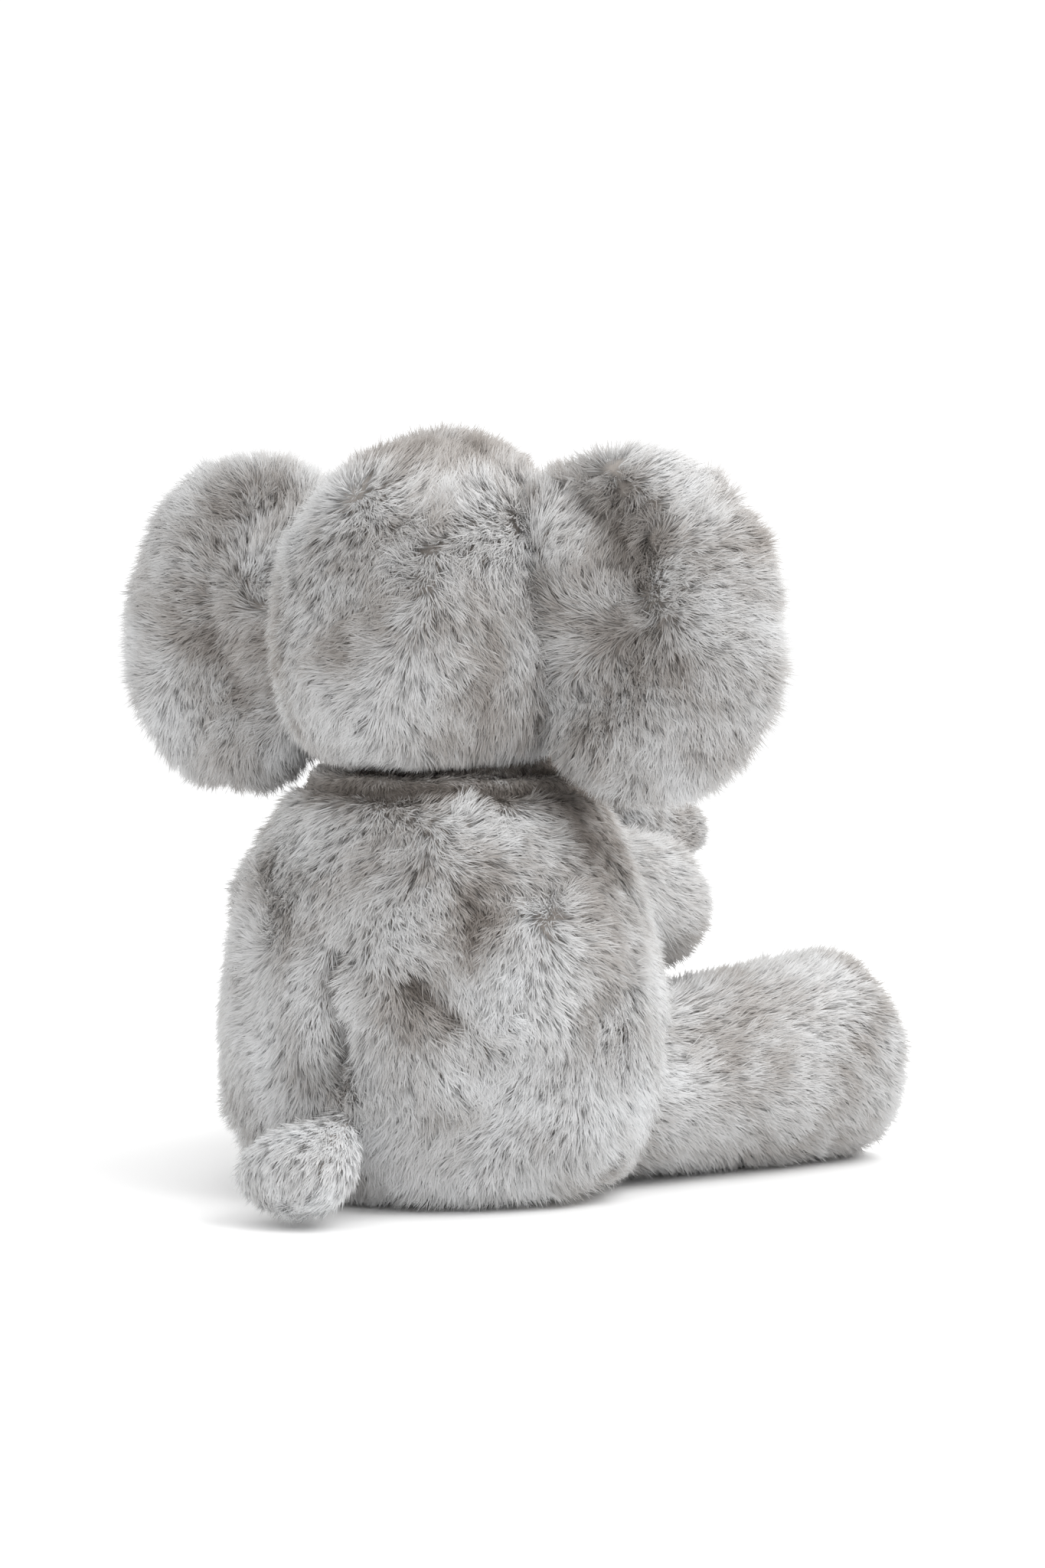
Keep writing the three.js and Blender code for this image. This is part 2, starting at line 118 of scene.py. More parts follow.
# cloudy light and dark over the surface, for any cloth
def cloudGroup():
    group = bpy.data.node_groups.new("clothClouds", "ShaderNodeTree")
    face = group.interface
    for name, value in (("Scale", 40.0), ("Contrast", 0.3)):
        face.new_socket(name=name, in_out="INPUT", socket_type="NodeSocketFloat").default_value = value
    face.new_socket(name="Shade", in_out="OUTPUT", socket_type="NodeSocketFloat")
    face.new_socket(name="Height", in_out="OUTPUT", socket_type="NodeSocketFloat")
    n, link = group.nodes, group.links.new
    inner, outer = n.new("NodeGroupInput"), n.new("NodeGroupOutput")
    place = n.new("ShaderNodeTexCoord")
    cloud, fibre = n.new("ShaderNodeTexNoise"), n.new("ShaderNodeTexNoise")
    cloud.inputs["Detail"].default_value = 3
    fibre.inputs["Detail"].default_value = 2
    link(place.outputs["Object"], cloud.inputs["Vector"])
    link(place.outputs["Object"], fibre.inputs["Vector"])
    link(inner.outputs["Scale"], cloud.inputs["Scale"])
    finer = n.new("ShaderNodeMath")
    finer.operation = "MULTIPLY"
    finer.inputs[1].default_value = 22
    link(inner.outputs["Scale"], finer.inputs[0])
    link(finer.outputs[0], fibre.inputs["Scale"])
    centred = n.new("ShaderNodeMath")
    centred.operation = "SUBTRACT"
    centred.inputs[1].default_value = 0.5
    link(cloud.outputs["Fac"], centred.inputs[0])
    shade = n.new("ShaderNodeMath")
    shade.operation = "MULTIPLY_ADD"
    shade.inputs[2].default_value = 1
    link(centred.outputs[0], shade.inputs[0])
    link(inner.outputs["Contrast"], shade.inputs[1])
    link(shade.outputs[0], outer.inputs["Shade"])
    link(fibre.outputs["Fac"], outer.inputs["Height"])
    return group


clothClouds = cloudGroup()


# a new material in one colour with cloudy light and dark
def cloudyMaterial(name, colour, roughness, scale, contrast):
    material = bpy.data.materials.new(name)
    material.use_nodes = True
    n, link = material.node_tree.nodes, material.node_tree.links.new
    shader = n["Principled BSDF"]
    clouds = n.new("ShaderNodeGroup")
    clouds.node_tree = clothClouds
    clouds.inputs["Scale"].default_value = scale
    clouds.inputs["Contrast"].default_value = contrast
    tone = n.new("ShaderNodeVectorMath")
    tone.operation = "SCALE"
    tone.inputs[0].default_value = colour
    link(clouds.outputs["Shade"], tone.inputs["Scale"])
    link(tone.outputs[0], shader.inputs["Base Color"])
    shader.inputs["Roughness"].default_value = roughness
    return material, clouds, shader


# a matt cloth: cloudy colour, a fibrous surface and a little sheen
def clothMaterial(name, colour, roughness, scale, contrast, bump, sheen=0.3):
    material, clouds, shader = cloudyMaterial(name, colour, roughness, scale, contrast)
    n, link = material.node_tree.nodes, material.node_tree.links.new
    relief = n.new("ShaderNodeBump")
    relief.inputs["Strength"].default_value = bump
    relief.inputs["Distance"].default_value = 0.6 * mm
    link(clouds.outputs["Height"], relief.inputs["Height"])
    link(relief.outputs["Normal"], shader.inputs["Normal"])
    shader.inputs["Sheen Weight"].default_value = sheen
    shader.inputs["Specular IOR Level"].default_value = 0.2
    return material


strandGloss = {"Roughness": 0.75, "Sheen Weight": 0.25, "Sheen Roughness": 0.5, "Specular IOR Level": 0.25}


# pile strands: the map's U holds each strand's own tone, V runs from its root to its tip
def pileMaterial(name, tones, rootShade, tipShade):
    material = bpy.data.materials.new(name)
    material.use_nodes = True
    n, link = material.node_tree.nodes, material.node_tree.links.new
    shader = n["Principled BSDF"]
    strandMap = n.new("ShaderNodeUVMap")
    strandMap.uv_map = "OFBake"
    split = n.new("ShaderNodeSeparateXYZ")
    link(strandMap.outputs["UV"], split.inputs[0])
    tone = n.new("ShaderNodeValToRGB")
    steps = tone.color_ramp.elements
    while len(steps) < len(tones):
        steps.new(0.5)
    for step, (at, colour) in zip(steps, tones):
        step.position = at
        step.color = (*colour, 1)
    link(split.outputs["X"], tone.inputs["Fac"])
    along = n.new("ShaderNodeMapRange")
    along.inputs["To Min"].default_value = rootShade
    along.inputs["To Max"].default_value = tipShade
    along.interpolation_type = "SMOOTHSTEP"
    link(split.outputs["Y"], along.inputs["Value"])
    dyed = n.new("ShaderNodeVectorMath")
    dyed.operation = "SCALE"
    link(tone.outputs["Color"], dyed.inputs[0])
    link(along.outputs["Result"], dyed.inputs["Scale"])
    link(dyed.outputs[0], shader.inputs["Base Color"])
    # a strand is too thin to have a dark side: the light on its face shows through to its back
    where = n.new("ShaderNodeNewGeometry")
    through = n.new("ShaderNodeBsdfTranslucent")
    link(dyed.outputs[0], through.inputs["Color"])
    sided = n.new("ShaderNodeMixShader")
    link(where.outputs["Backfacing"], sided.inputs[0])
    link(shader.outputs[0], sided.inputs[1])
    link(through.outputs[0], sided.inputs[2])
    link(sided.outputs[0], n["Material Output"].inputs["Surface"])
    for socket, value in strandGloss.items():
        shader.inputs[socket].default_value = value
    return material


greyTones = (
    (0.0, (0.20, 0.175, 0.155)),
    (0.30, (0.40, 0.375, 0.355)),
    (0.55, (0.61, 0.605, 0.60)),
    (1.0, (0.80, 0.81, 0.82)),
)
liningTones = ((0.0, (0.40, 0.385, 0.375)), (0.5, (0.60, 0.59, 0.58)), (1.0, (0.76, 0.755, 0.75)))
pileGrey = pileMaterial("pileGrey", greyTones, 0.52, 1.0)
pileLining = pileMaterial("pileLining", liningTones, 0.56, 0.98)
backingCloth = clothMaterial("backingCloth", (0.34, 0.31, 0.285), 0.95, 30, 0.5, 0.4)
fillingFibre = clothMaterial("fillingFibre", (0.84, 0.83, 0.80), 1.0, 60, 0.15, 1.0)
pelletWeave = clothMaterial("pelletWeave", (0.72, 0.69, 0.62), 0.9, 90, 0.2, 0.8)
labelSatin = clothMaterial("labelSatin", (0.86, 0.86, 0.84), 0.4, 120, 0.06, 0.15, 0.6)
print("materials ready")


# a smooth line through points (each a row), with some points between each pair
def smoothLine(points, between):
    points = np.array(points, float)
    padded = np.vstack([2 * points[0] - points[1], points, 2 * points[-1] - points[-2]])
    line = []
    for i in range(1, len(padded) - 2):
        a, b, c, d = padded[i - 1:i + 3]
        for t in np.arange(between) / between:
            line.append(0.5 * (2 * b + (c - a) * t + (2 * a - 5 * b + 4 * c - d) * t * t
                               + (3 * b - a - 3 * c + d) * t ** 3))
    line.append(points[-1])
    return np.array(line)


# a closed surface from rings of points; a ring with no size is a pole
def ringSurface(name, rings):
    mesh = bmesh.new()
    rows = []
    for ring in rings:
        if np.ptp(ring, axis=0).max() < 1e-7:
            rows.append([mesh.verts.new(ring[0])])
        else:
            rows.append([mesh.verts.new(point) for point in ring])
    for lower, upper in zip(rows, rows[1:]):
        count = max(len(lower), len(upper))
        for i in range(count):
            j = (i + 1) % count
            corners = []
            for row, at in ((lower, i), (lower, j), (upper, j), (upper, i)):
                vert = row[at % len(row)]
                if vert not in corners:
                    corners.append(vert)
            if len(corners) > 2:
                mesh.faces.new(corners)
    bmesh.ops.recalc_face_normals(mesh, faces=mesh.faces)
    data = bpy.data.meshes.new(name)
    mesh.to_mesh(data)
    mesh.free()
    ob = bpy.data.objects.new(name, data)
    scene.collection.objects.link(ob)
    return ob


def circle(count):
    turn = np.arange(count) * 2 * math.pi / count
    return np.cos(turn), np.sin(turn)


# what an object's live modifiers make, as a plain mesh in its place
def applied(ob):
    shown = ob.evaluated_get(bpy.context.evaluated_depsgraph_get())
    data = bpy.data.meshes.new_from_object(shown)
    ob.modifiers.clear()
    old = ob.data
    ob.data = data
    data.name = ob.name
    bpy.data.meshes.remove(old)
    return ob


def coordsOf(ob):
    flat = np.empty(len(ob.data.vertices) * 3, np.float32)
    ob.data.vertices.foreach_get("co", flat)
    return flat.reshape(-1, 3).astype(float)


def normalsOf(ob):
    flat = np.empty(len(ob.data.vertices) * 3, np.float32)
    ob.data.vertices.foreach_get("normal", flat)
    return flat.reshape(-1, 3).astype(float)


def setCoords(ob, coords):
    ob.data.vertices.foreach_set("co", coords.astype(np.float32).ravel())
    ob.data.update()


def remeshed(ob, size):
    remesh = ob.modifiers.new("even", "REMESH")
    remesh.mode = "VOXEL"
    remesh.voxel_size = size
    applied(ob)
    return smoothed(ob, 4)


def smoothed(ob, times):
    smooth = ob.modifiers.new("smooth", "SMOOTH")
    smooth.factor = 0.5
    smooth.iterations = times
    return applied(ob)


swelling = {"quality": 4, "shrink": -0.04, "frames": 20}


# fills a cloth skin: it swells under pressure, and no point moves further than the cap
def puffed(ob, pressure, cap):
    start = coordsOf(ob)
    scene.frame_set(1)
    cloth = ob.modifiers.new("cloth", "CLOTH")
    cloth.settings.quality = swelling["quality"]
    cloth.settings.use_pressure = True
    cloth.settings.uniform_pressure_force = pressure
    cloth.settings.effector_weights.gravity = 0
    cloth.settings.shrink_min = swelling["shrink"]
    cloth.point_cache.frame_start = 1
    cloth.point_cache.frame_end = swelling["frames"]
    for step in range(1, swelling["frames"] + 1):
        scene.frame_set(step)
    applied(ob)
    scene.frame_set(1)
    moved = coordsOf(ob) - start
    far = np.linalg.norm(moved, axis=1, keepdims=True)
    setCoords(ob, start + moved * np.minimum(1, cap / np.maximum(far, 1e-9)))
    return smoothed(ob, 3)


def subdivided(ob):
    finer = ob.modifiers.new("finer", "SUBSURF")
    finer.levels = finer.render_levels = 1
    return applied(ob)


# how far each point lies from a smooth line
def lineGap(coords, path):
    path = smoothLine(path, 5)
    near = np.full(len(coords), 9.0)
    for a, b in zip(path, path[1:]):
        along = b - a
        share = np.clip(((coords - a) @ along) / max(along @ along, 1e-12), 0, 1)
        near = np.minimum(near, np.linalg.norm(coords - a - share[:, None] * along, axis=1))
    return near


# one near the line, falling to zero beyond its width; the weights say how much each axis counts
def nearLine(coords, path, width, weights=(1, 1, 1)):
    return np.exp(-(lineGap(coords * weights, np.array(path) * weights) / width) ** 2)


# presses a line into the surface, as a tight seam or a fold does
def pressed(ob, path, width, depth, weights=(1, 1, 1)):
    coords, normals = coordsOf(ob), normalsOf(ob)
    setCoords(ob, coords - normals * (depth * nearLine(coords, path, width, weights))[:, None])
    return ob


# bumps of slack cloth over the surface
def lumpy(ob, size, height, seed):
    coords, normals = coordsOf(ob), normalsOf(ob)
    shift = Vector((seed * 3.1, seed * 1.7, seed * 2.3))
    rise = np.array([noise.noise(Vector(point) / size + shift) for point in coords])
    setCoords(ob, coords + normals * (height * rise)[:, None])
    return ob


# keeps a sitting piece flat on the floor
def grounded(ob, height):
    coords = coordsOf(ob)
    low = coords[:, 2]
    soft = 5 * mm
    lifted = np.where(low < height + soft, height + soft * np.exp((low - height - soft) / soft), low)
    coords[:, 2] = np.maximum(lifted, height)
    setCoords(ob, coords)
    return ob


# the skins are the sewn cloth under the pile, one for each body
pileFoot = 3 * mm  # the cloth lies this far inside the CAD surface

# radius and height of the torso's outline, as shares of its half width and of its crown's height
torsoForm = {
    "crown": 0.167, "profile": ((0.0, 0), (0.55, 0.0), (0.84, 0.06), (0.97, 0.22), (1.0, 0.42), (0.94, 0.6),
                                (0.80, 0.77), (0.60, 0.91), (0.32, 0.985), (0.0, 1.0)),
    "voxel": 5.5 * mm, "pressure": 3.0, "cap": 4 * mm,
    "sideSeam": ((0.62, 0.02, 0.140), (0.93, -0.01, 0.112), (1, -0.02, 0.080), (0.98, -0.03, 0.055)),
}

backY = 0.073  # the torso's back at its widest
backSeam = [(0.000, backY, 0.096), (0.003, backY, 0.084), (-0.001, backY, 0.068), (0.002, backY, 0.050)]
sideFold = [(-0.024, backY, 0.088), (-0.034, backY, 0.080), (-0.041, backY, 0.072)]
neckFolds = [[(0.1, 0, height), (-0.1, 0, height)] for height in (0.152, 0.161)]
onBack, byHeight = (1, 0.25, 1), (0.02, 0, 1)
# path, width and depth of each fold, and the weights of its axes
torsoFolds = ((backSeam, 9 * mm, 4 * mm, onBack), (backSeam, 3.6 * mm, 9 * mm, onBack),
              (sideFold, 3.6 * mm, 5 * mm, onBack), (neckFolds[0], 2.8 * mm, 3 * mm, byHeight),
              (neckFolds[1], 2.8 * mm, 4 * mm, byHeight))


def torsoSkin():
    low, high = nodesBox("torso_back_left", "torso_back_right", "torso_belly_panel", "torso_seat_panel")
    wide, deep = high[0] - pileFoot, high[1] - pileFoot
    line = smoothLine(torsoForm["profile"], 5)
    cos, sin = circle(40)
    rings = []
    for radius, height in line:
        radius = max(radius, 0)
        level = np.full(40, height * torsoForm["crown"])
        rings.append(np.stack([cos * radius * wide, sin * radius * deep, level], 1) + (0, 0, 3 * mm))
    ob = ringSurface("torso_skin", rings)
    remeshed(ob, torsoForm["voxel"])
    puffed(ob, torsoForm["pressure"], torsoForm["cap"])
    subdivided(ob)
    for fold in torsoFolds:
        pressed(ob, *fold)
    for side in (1, -1):
        pressed(ob, [(side * wide * out, y, z) for out, y, z in torsoForm["sideSeam"]], 6 * mm, 3 * mm)
    lumpy(ob, 26 * mm, 3.0 * mm, 1)
    return grounded(ob, 2.2 * mm)


headForm = {"centre": (0, 0.009, 0.218), "radii": (0.052, 0.054, 0.058), "lean": 16, "square": 3.1,
            "crown": 9 * mm, "voxel": 5 * mm, "pressure": 3.0, "cap": 3 * mm}
crownFold = [(-0.046, 0.008, 0.248), (-0.028, 0.012, 0.268), (0, 0.010, 0.277),
             (0.028, 0.012, 0.268), (0.046, 0.008, 0.248)]


def headSkin():
    lean = math.radians(headForm["lean"])
    cos, sin = circle(40)
    rings = []
    for height in np.sin(np.linspace(-math.pi / 2, math.pi / 2, 29)):
        power = headForm["square"] if height < 0 else 2.1
        radius = (1 - min(abs(height), 1) ** power) ** (1 / power)
        # lower down the head squares off round its jowls and stands upright
        spread = np.array([cos * radius, sin * radius, np.full(40, height)])
        x, y, z = spread * np.array(headForm["radii"])[:, None]
        tip = lean * (0.35 + 0.65 * (height + 1) / 2)
        ring = np.stack([x, y * math.cos(tip) - z * math.sin(tip), y * math.sin(tip) + z * math.cos(tip)], 1)
        rings.append(ring + headForm["centre"])
    ob = ringSurface("head_skin", rings)
    remeshed(ob, headForm["voxel"])
    puffed(ob, headForm["pressure"], headForm["cap"])
    subdivided(ob)
    coords = coordsOf(ob)
    x, y, z = coords.T
    crown = np.exp(-((y + 0.022) / 0.030) ** 2 - (x / 0.036) ** 2) * np.clip((z - 0.235) / 0.03, 0, 1)
    coords[:, 2] += headForm["crown"] * crown
    setCoords(ob, coords)
    pressed(ob, crownFold, 7 * mm, 4 * mm)
    return lumpy(ob, 26 * mm, 1.6 * mm, 2)


earForm = {"plump": 16 * mm, "square": 2.25, "corner": 0.45, "voxel": 4.5 * mm, "pressure": 3.0, "cap": 3 * mm,
           "hollow": 8 * mm, "lobe": 3.5 * mm, "lining": 6 * mm, "curl": 6 * mm}


# the ear's middle and half sizes
def earFrame(name, side):
    low, high = nodesBox(f"ear_{name}_back", f"ear_{name}_lining", f"ear_{name}_wadding")
    pivot = jointPivot(f"ear_{name}_swing")
    inner = pivot[0] - side * 4 * mm
    outer = (high[0] if side > 0 else low[0]) - side * 2 * mm
    middle = np.array([(inner + outer) / 2, pivot[1], (low[2] + high[2]) / 2])
    return middle, abs(outer - inner) / 2, (high[2] - low[2]) / 2 - 2 * mm


# the hollow down the back of the ear, inside its plump rim
def earHollow(name, side):
    middle, halfWide, halfTall = earFrame(name, side)
    spots = ((-0.42, 0.72), (-0.10, 0.50), (0.02, 0.20), (-0.05, -0.12), (-0.24, -0.40), (-0.50, -0.42))
    return [middle + (side * out * halfWide, 14 * mm, up * halfTall) for out, up in spots]


def earSkin(name, side):
    middle, halfWide, halfTall = earFrame(name, side)
    rings = []
    outward, upward = circle(48)
    power = earForm["square"]
    reach = 1 / (np.abs(outward) ** power + np.abs(upward) ** power) ** (1 / power)
    reach *= 1 - 0.16 * np.maximum(outward, 0) * np.maximum(upward, 0)
    # the root reaches up to the crown
    stretch = 1 + earForm["corner"] * np.clip(upward, 0, 1) * (outward < 0)
    for lift in np.sin(np.linspace(-math.pi / 2, math.pi / 2, 15)):
        share = math.sqrt(max(1 - lift * lift, 0))
        thick = earForm["plump"] * np.sign(lift) * abs(lift) ** 0.7
        ring = np.stack([side * outward * reach * stretch * share * halfWide, np.full(48, thick),
                         upward * reach * share * halfTall], 1)
        rings.append(ring + middle)
    ob = ringSurface(f"ear_{name}_skin", rings)
    remeshed(ob, earForm["voxel"])
    puffed(ob, earForm["pressure"], earForm["cap"])
    subdivided(ob)
    coords = coordsOf(ob)
    out = side * (coords[:, 0] - middle[0]) / halfWide
    up = (coords[:, 2] - middle[2]) / halfTall
    front = coords[:, 1] < middle[1]
    hollow = nearLine(coords, earHollow(name, side), 13 * mm, (1, 0.3, 1))
    lobe = np.exp(-((out + 0.15) ** 2 + (up + 0.72) ** 2) / 0.10)
    coords[:, 1] -= np.where(front, 0, earForm["hollow"] * hollow)
    coords[:, 1] += np.where(front, 0, earForm["lobe"] * lobe)
    coords[:, 1] += np.where(front, earForm["lining"] * np.exp(-(out ** 2 + up ** 2) / 0.30), 0)
    coords[:, 1] -= earForm["curl"] * np.maximum(out, 0) ** 2  # the rim curls forwards
    setCoords(ob, coords)
    return lumpy(ob, 24 * mm, 1.8 * mm, 5 if side > 0 else 8)


# a limb from its hinge outwards: rings along a line, with a rounded root and a soft end
def limbSkin(name, pivot, aim, length, root, end, corner, voxel):
    aim = np.array(aim) / np.linalg.norm(aim)
    across = np.cross(aim, (0, 0, 1))
    across /= np.linalg.norm(across)
    up = np.cross(across, aim)
    stops = [(root * math.sin(a), -root * math.cos(a)) for a in np.linspace(0, math.pi / 2, 6)]
    stops.append(((root + end * 2) / 3, (length - corner) * 0.5))
    stops += [(end - corner + corner * math.cos(a), length - corner + corner * math.sin(a))
              for a in np.linspace(0, math.pi / 2, 5)]
    stops.append((0, length + 1.5 * mm))
    cos, sin = circle(32)
    disc = cos[:, None] * across + sin[:, None] * up
    rings = [pivot + aim * along + radius * disc for radius, along in stops]
    ob = ringSurface(name, rings)
    remeshed(ob, voxel)
    puffed(ob, 3.0, 2.5 * mm)
    return subdivided(ob)


armForm = {"aim": (0.11, -0.97, -0.2), "length": 0.060, "root": 0.021, "end": 0.025, "corner": 0.014,
           "voxel": 4 * mm, "lumps": 1.5 * mm}


def armSkin(name, side):
    pivot = jointPivot(f"arm_{name}_lift")
    root, end = armForm["root"] - pileFoot, armForm["end"] - pileFoot
    x, y, z = armForm["aim"]
    ob = limbSkin(f"arm_{name}_skin", pivot, (side * x, y, z), armForm["length"] - pileFoot,
                  root, end, armForm["corner"], armForm["voxel"])
    return lumpy(ob, 20 * mm, armForm["lumps"], 11 + side)


legForm = {"rise": 0.026, "length": 0.128, "root": 0.030, "end": 0.040, "corner": 0.012, "splay": 22,
           "voxel": 5 * mm, "lumps": 2.0 * mm}


def legAim(side):
    splay = math.radians(legForm["splay"])
    return np.array([side * math.sin(splay), -math.cos(splay), legForm["rise"]])


def legSkin(name, side):
    pivot = jointPivot(f"leg_{name}_spread")
    root, end = legForm["root"] - pileFoot, legForm["end"] - pileFoot
    ob = limbSkin(f"leg_{name}_skin", pivot, legAim(side), legForm["length"] - pileFoot,
                  root, end, legForm["corner"], legForm["voxel"])
    lumpy(ob, 26 * mm, legForm["lumps"], 15 + side)
    return grounded(ob, 2.2 * mm)


tailForm = {"aim": (0, 0.88, -0.36), "root": 0.011, "bulb": 0.022, "flat": 0.62, "length": 0.045,
            "voxel": 3.5 * mm, "pressure": 3.0, "cap": 2 * mm}


def tailSkin():
    pivot = jointPivot("tail_swing")
    aim = np.array(tailForm["aim"]) / np.linalg.norm(tailForm["aim"])
    root, bulb = tailForm["root"] - pileFoot, tailForm["bulb"] - 0.6 * pileFoot
    length = tailForm["length"]
    across = np.array([1.0, 0, 0])
    up = np.cross(across, aim)
    stops = [(0, -root), (root * 0.7, -root * 0.6), (root * 0.85, 0), (root * 1.1, length * 0.2),
             (bulb * 0.75, length * 0.45), (bulb * 0.98, length * 0.72), (bulb, length * 0.92),
             (bulb * 0.55, length * 1.04), (0, length * 1.07)]
    line = smoothLine(stops, 3)
    cos, sin = circle(28)
    disc = cos[:, None] * across + tailForm["flat"] * sin[:, None] * up
    rings = [pivot + aim * along + max(radius, 0) * disc for radius, along in line]
    ob = ringSurface("tail_skin", rings)
    remeshed(ob, tailForm["voxel"])
    puffed(ob, tailForm["pressure"], tailForm["cap"])
    subdivided(ob)
    return grounded(ob, 2.2 * mm)


trunkForm = {"root": 0.025, "tip": 0.013, "voxel": 3.5 * mm, "pressure": 2.5, "cap": 2 * mm,
             "bends": ((-0.075, 0.181), (-0.116, 0.152), (-0.155, 0.130), (-0.194, 0.125))}


def trunkLine():
    pivot = jointPivot("trunk_lift")
    return smoothLine([pivot] + [(0, y, z) for y, z in trunkForm["bends"]], 8)


def trunkSkin():
    line = trunkLine()
    ahead = np.gradient(line, axis=0)
    ahead /= np.linalg.norm(ahead, axis=1, keepdims=True)
    travelled = np.concatenate([[0], np.cumsum(np.linalg.norm(np.diff(line, axis=0), axis=1))])
    share = travelled / travelled[-1]
    radius = trunkForm["root"] + (trunkForm["tip"] - trunkForm["root"]) * share - 0.7 * pileFoot
    cos, sin = circle(28)
    across = np.array([1.0, 0, 0])

    def ring(centre, forward, size):
        up = np.cross(across, forward)
        return centre + size * (cos[:, None] * across + sin[:, None] * up)

    rings = []
    for angle in np.linspace(0, math.pi / 2, 5)[:-1]:
        behind = line[0] - ahead[0] * radius[0] * math.cos(angle)
        rings.append(ring(behind, ahead[0], radius[0] * math.sin(angle)))
    rings += [ring(line[i], ahead[i], radius[i]) for i in range(len(line))]
    for angle in np.linspace(0, math.pi / 2, 5)[1:]:
        rings.append(ring(line[-1] + ahead[-1] * radius[-1] * 0.8 * math.sin(angle), ahead[-1],
                          radius[-1] * math.cos(angle)))
    ob = ringSurface("trunk_skin", rings)
    remeshed(ob, trunkForm["voxel"])
    puffed(ob, trunkForm["pressure"], trunkForm["cap"])
    return subdivided(ob)


# a smooth random value at each point, about -0.5 to 0.5
def drift(coords, size, seed):
    shift = Vector((seed * 5.3, seed * 2.9, seed * 4.1))
    return np.array([noise.noise(Vector(point) / size + shift) for point in coords])


# stores on each point of a skin the way the pile lies, its tone and its length
def groomed(ob, flow, tone, length, swirl, seed):
    coords, normals = coordsOf(ob), normalsOf(ob)
    wander = np.stack([drift(coords, 34 * mm, seed + 0.37 * axis) for axis in range(3)], 1)
    flick = np.stack([drift(coords, 9 * mm, seed + 0.61 * axis) for axis in range(3)], 1)
    lie = flow(coords, normals) + 2 * swirl * wander + 0.7 * swirl * flick
    lie -= normals * np.sum(lie * normals, axis=1, keepdims=True)
    lie /= np.maximum(np.linalg.norm(lie, axis=1, keepdims=True), 0.5)
    patch = 0.30 * drift(coords, 30 * mm, seed) + 0.20 * drift(coords, 10 * mm, seed + 1)
    for name, kind, values in (("lie", "FLOAT_VECTOR", lie), ("tone", "FLOAT", tone(coords, normals) + patch),
                               ("pile", "FLOAT", length(coords, normals))):
        layer = ob.data.attributes.new(name, kind, "POINT")
        layer.data.foreach_set("vector" if kind == "FLOAT_VECTOR" else "value",
                               np.asarray(values, np.float32).ravel())


# spots where the pile is darker: middle, radius, strength. Most are where it has parted and its darker foot shows;
# those under the near ear are partly painted shade, and the two strongest, just under the ears, are painted shadow
# of the ears
torsoSpots = (((-0.046, 0.052, 0.118), 0.017, 0.30), ((-0.044, 0.056, 0.098), 0.012, 0.22),
              ((-0.021, 0.068, 0.074), 0.010, 0.26), ((-0.064, 0.040, 0.034), 0.010, 0.24),
              ((-0.060, 0.000, 0.137), 0.020, 0.7), ((0.060, 0.000, 0.137), 0.020, 0.7),
              ((0.040, 0.052, 0.060), 0.011, 0.2), ((0.020, 0.060, 0.125), 0.012, 0.15))
headSpots = (((-0.034, 0.050, 0.222), 0.015, 0.26), ((-0.030, 0.046, 0.245), 0.010, 0.16),
             ((0.036, 0.040, 0.200), 0.010, 0.12))


def spotted(coords, spots, seed):
    shade = np.zeros(len(coords))
    for middle, radius, strength in spots:
        apart = np.linalg.norm(coords - np.array(middle), axis=1)
        shade += strength * np.exp(-(apart / radius) ** 2)
    return shade * (1 + 0.9 * drift(coords, 6 * mm, seed))


# one bent blade, a unit long: the shape that every strand repeats
def strandBlade():
    data = bpy.data.meshes.new("strandBlade")
    corners = [(0, 0, 0), (0.13, -0.5, 0.5), (0.13, 0.5, 0.5), (0.4, 0, 1)]
    data.from_pydata(corners, [], [(0, 1, 2), (1, 3, 2)])
    along = data.uv_layers.new(name="blade")
    for loop in data.loops:
        x, y, z = data.vertices[loop.vertex_index].co
        along.data[loop.index].uv = (y + 0.5, z)
    strand = bpy.data.objects.new("strandBlade", data)
    scene.collection.objects.link(strand)
    return strand


pileInputs = (
    ("Panel", "Int", 0), ("Density", "Float", 1.5e6),
    ("Length", "Float", 11 * mm), ("Width", "Float", 0.55 * mm),
    ("Lean", "Float", 0.6), ("Clump", "Float", 0.5), ("Clump Size", "Float", 5 * mm), ("Stray", "Float", 0.25),
    ("Softness", "Float", 1.0), ("Floor", "Float", 0.3 * mm), ("Seed", "Int", 1), ("Strand", "Object", None),
    ("Material", "Material", None),
)


